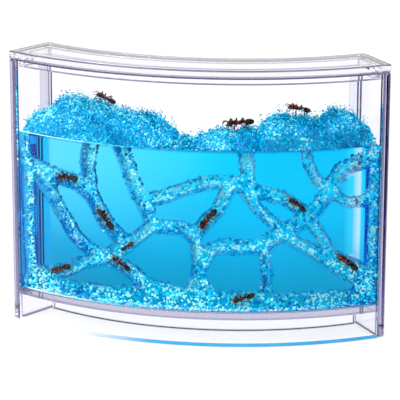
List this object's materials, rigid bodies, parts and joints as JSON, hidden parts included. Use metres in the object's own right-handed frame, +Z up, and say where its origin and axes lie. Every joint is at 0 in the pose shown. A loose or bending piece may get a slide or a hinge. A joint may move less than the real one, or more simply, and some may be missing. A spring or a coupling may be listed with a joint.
{
  "type": "ant habitat",
  "caption": "Bowed clear tank on a hollow plinth with a lift-off lid, filled with blue gel that is dug into branching tunnels, with gel crumb heaps and ants.",
  "frame": {"origin": "centre of the base, on the plane the plinth stands on", "axes": "+Z up, -Y towards the viewer (the bowed front), +X to the right seen from the front"},
  "size_m": [0.19, 0.0516, 0.14],
  "materials": {
    "clear_panel": "clear polished plastic with bluish grey edges",
    "clear_lid": "clear polished plastic with bluish grey edges",
    "blue_gel": "clear cyan-blue gel, smooth, with crumbly pale tunnel walls",
    "gel_crumbs": "wet sparkling crumbs of cyan-blue gel",
    "ant": "glossy red-brown with a near-black hind body"
  },
  "bodies": {
    "tank": {"front_panel": "clear_panel", "back_panel": "clear_panel", "left_end_panel": "clear_panel", "right_end_panel": "clear_panel", "floor_panel": "clear_panel", "gel_block": "blue_gel", "crumb_mound_left": "gel_crumbs", "crumb_mound_centre": "gel_crumbs", "crumb_mound_right": "gel_crumbs", "ant_01": "ant", "ant_02": "ant", "ant_03": "ant", "ant_04": "ant", "ant_05": "ant", "ant_06": "ant", "ant_07": "ant", "ant_08": "ant", "ant_09": "ant", "ant_10": "ant", "ant_11": "ant", "ant_12": "ant"},
    "lid": {"lid_plate": "clear_lid", "lid_locating_rim": "clear_lid"}
  },
  "joints": [
    {"name": "lid_lift", "type": "slide", "parent": "tank", "child": "lid", "axis": [0, 0, 1], "range_m": [0, 0.03]}
  ]
}
